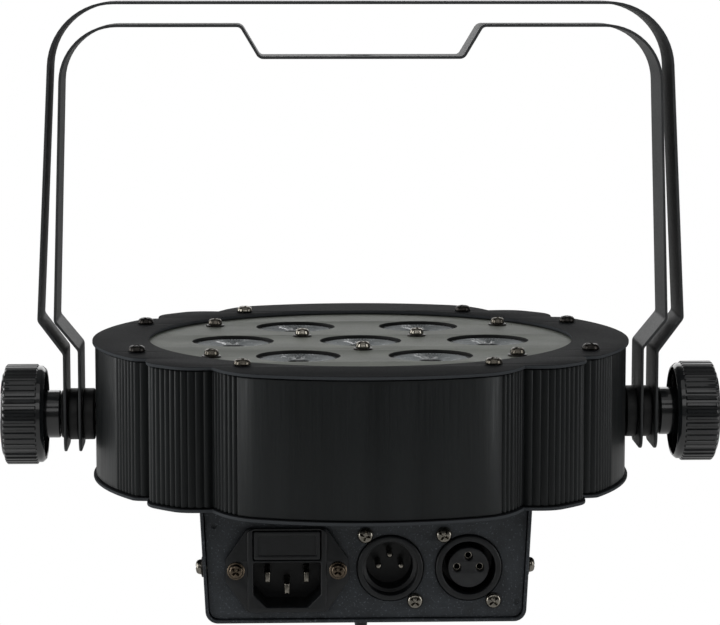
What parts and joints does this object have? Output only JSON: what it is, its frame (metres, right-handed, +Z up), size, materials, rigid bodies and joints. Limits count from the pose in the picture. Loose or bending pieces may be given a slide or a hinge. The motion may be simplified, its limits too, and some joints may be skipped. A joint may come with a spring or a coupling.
{
  "type": "par can light",
  "caption": "Flat LED par can: lobed ribbed drum with collimator lenses, rear box with mains and signal inlets, double yoke and clamp knobs.",
  "frame": {"origin": "centre of the clamp-bolt hole, on the top face of the outer yoke", "axes": "+Z up along the clamp bolt, -Y the side with the mains and signal connectors, +X to the right seen from there, along the tilt axis"},
  "size_m": [0.269, 0.21, 0.2368],
  "materials": {
    "drum": "black anodised aluminium extrusion with fine vertical ribs",
    "end_plates": "charcoal painted sheet steel, satin",
    "lens_plate": "grey painted sheet steel, satin",
    "box": "black fine-texture powder coat on sheet steel",
    "yokes": "dark grey powder coat on flat steel strap",
    "knobs": "black moulded nylon, semi-gloss",
    "moulded_plastic": "black moulded thermoplastic, semi-matt",
    "spacers": "matt black rubber",
    "lenses": "clear moulded acrylic collimator",
    "screws": "nickel-plated steel",
    "contacts": "nickel-plated brass",
    "window": "smoked red acrylic",
    "fuse_glass": "clear glass tube",
    "led_board": "aluminium-core board with white solder mask",
    "heat_sink": "mill-finish aluminium",
    "boards": "glass-fibre board with green solder mask",
    "safety_eye": "blackened steel wire welded to a plate"
  },
  "bodies": {
    "outer_yoke": {"outer_yoke": "yokes", "middle_spacer_left": "spacers", "middle_spacer_right": "spacers"},
    "inner_yoke": {"inner_yoke": "yokes"},
    "knob_left": {"knob_left": "knobs", "washer_left": "spacers"},
    "knob_right": {"knob_right": "knobs", "washer_right": "spacers"},
    "fuse_drawer": {"fuse_drawer": "moulded_plastic", "fuse": "fuse_glass"},
    "button_1": {"button_1": "moulded_plastic"},
    "button_2": {"button_2": "moulded_plastic"},
    "button_3": {"button_3": "moulded_plastic"},
    "button_4": {"button_4": "moulded_plastic"},
    "head": {"drum_shell": "drum", "front_ring_plate": "end_plates", "rear_plate": "end_plates", "lens_plate": "lens_plate", "rear_cover": "box", "connector_panel": "box", "control_panel": "box", "mains_inlet": "moulded_plastic", "male_connector": "moulded_plastic", "female_connector": "moulded_plastic", "inner_spacer_left": "spacers", "inner_spacer_right": "spacers", "lens_1": "lenses", "lens_2": "lenses", "lens_3": "lenses", "lens_4": "lenses", "lens_5": "lenses", "lens_6": "lenses", "lens_7": "lenses", "ring_screw_1": "screws", "ring_screw_2": "screws", "ring_screw_3": "screws", "ring_screw_4": "screws", "ring_screw_5": "screws", "ring_screw_6": "screws", "ring_screw_7": "screws", "ring_screw_8": "screws", "cover_screw_left": "screws", "cover_screw_right": "screws", "blade_left": "contacts", "blade_right": "contacts", "blade_earth": "contacts", "connector_pin_1": "contacts", "connector_pin_2": "contacts", "connector_pin_3": "contacts", "display_window": "window", "led_board": "led_board", "heat_sink": "heat_sink", "nut_block_left": "heat_sink", "nut_block_right": "heat_sink", "power_board": "boards", "driver_board": "boards", "control_board": "boards", "safety_eye": "safety_eye"}
  },
  "joints": [
    {"name": "head_tilt", "type": "hinge", "parent": "outer_yoke", "child": "head", "pos_m": [0, 0, -0.1535], "axis": [1, 0, 0], "continuous": true},
    {"name": "inner_yoke_swing", "type": "hinge", "parent": "head", "child": "inner_yoke", "pos_m": [0, 0, -0.1535], "axis": [1, 0, 0], "continuous": true},
    {"name": "knob_left_turn", "type": "hinge", "parent": "head", "child": "knob_left", "pos_m": [-0.12, 0, -0.1535], "axis": [-1, 0, 0], "range_deg": [0, 360]},
    {"name": "knob_right_turn", "type": "hinge", "parent": "head", "child": "knob_right", "pos_m": [0.12, 0, -0.1535], "axis": [1, 0, 0], "range_deg": [0, 360]},
    {"name": "fuse_drawer_slide", "type": "slide", "parent": "head", "child": "fuse_drawer", "axis": [0, -1, 0], "range_m": [0, 0.018]},
    {"name": "button_1_press", "type": "slide", "parent": "head", "child": "button_1", "axis": [0, -1, 0], "range_m": [0, 0.001], "stiffness_N_per_m": 400, "springref_m": -0.001},
    {"name": "button_2_press", "type": "slide", "parent": "head", "child": "button_2", "axis": [0, -1, 0], "range_m": [0, 0.001], "stiffness_N_per_m": 400, "springref_m": -0.001},
    {"name": "button_3_press", "type": "slide", "parent": "head", "child": "button_3", "axis": [0, -1, 0], "range_m": [0, 0.001], "stiffness_N_per_m": 400, "springref_m": -0.001},
    {"name": "button_4_press", "type": "slide", "parent": "head", "child": "button_4", "axis": [0, -1, 0], "range_m": [0, 0.001], "stiffness_N_per_m": 400, "springref_m": -0.001}
  ]
}
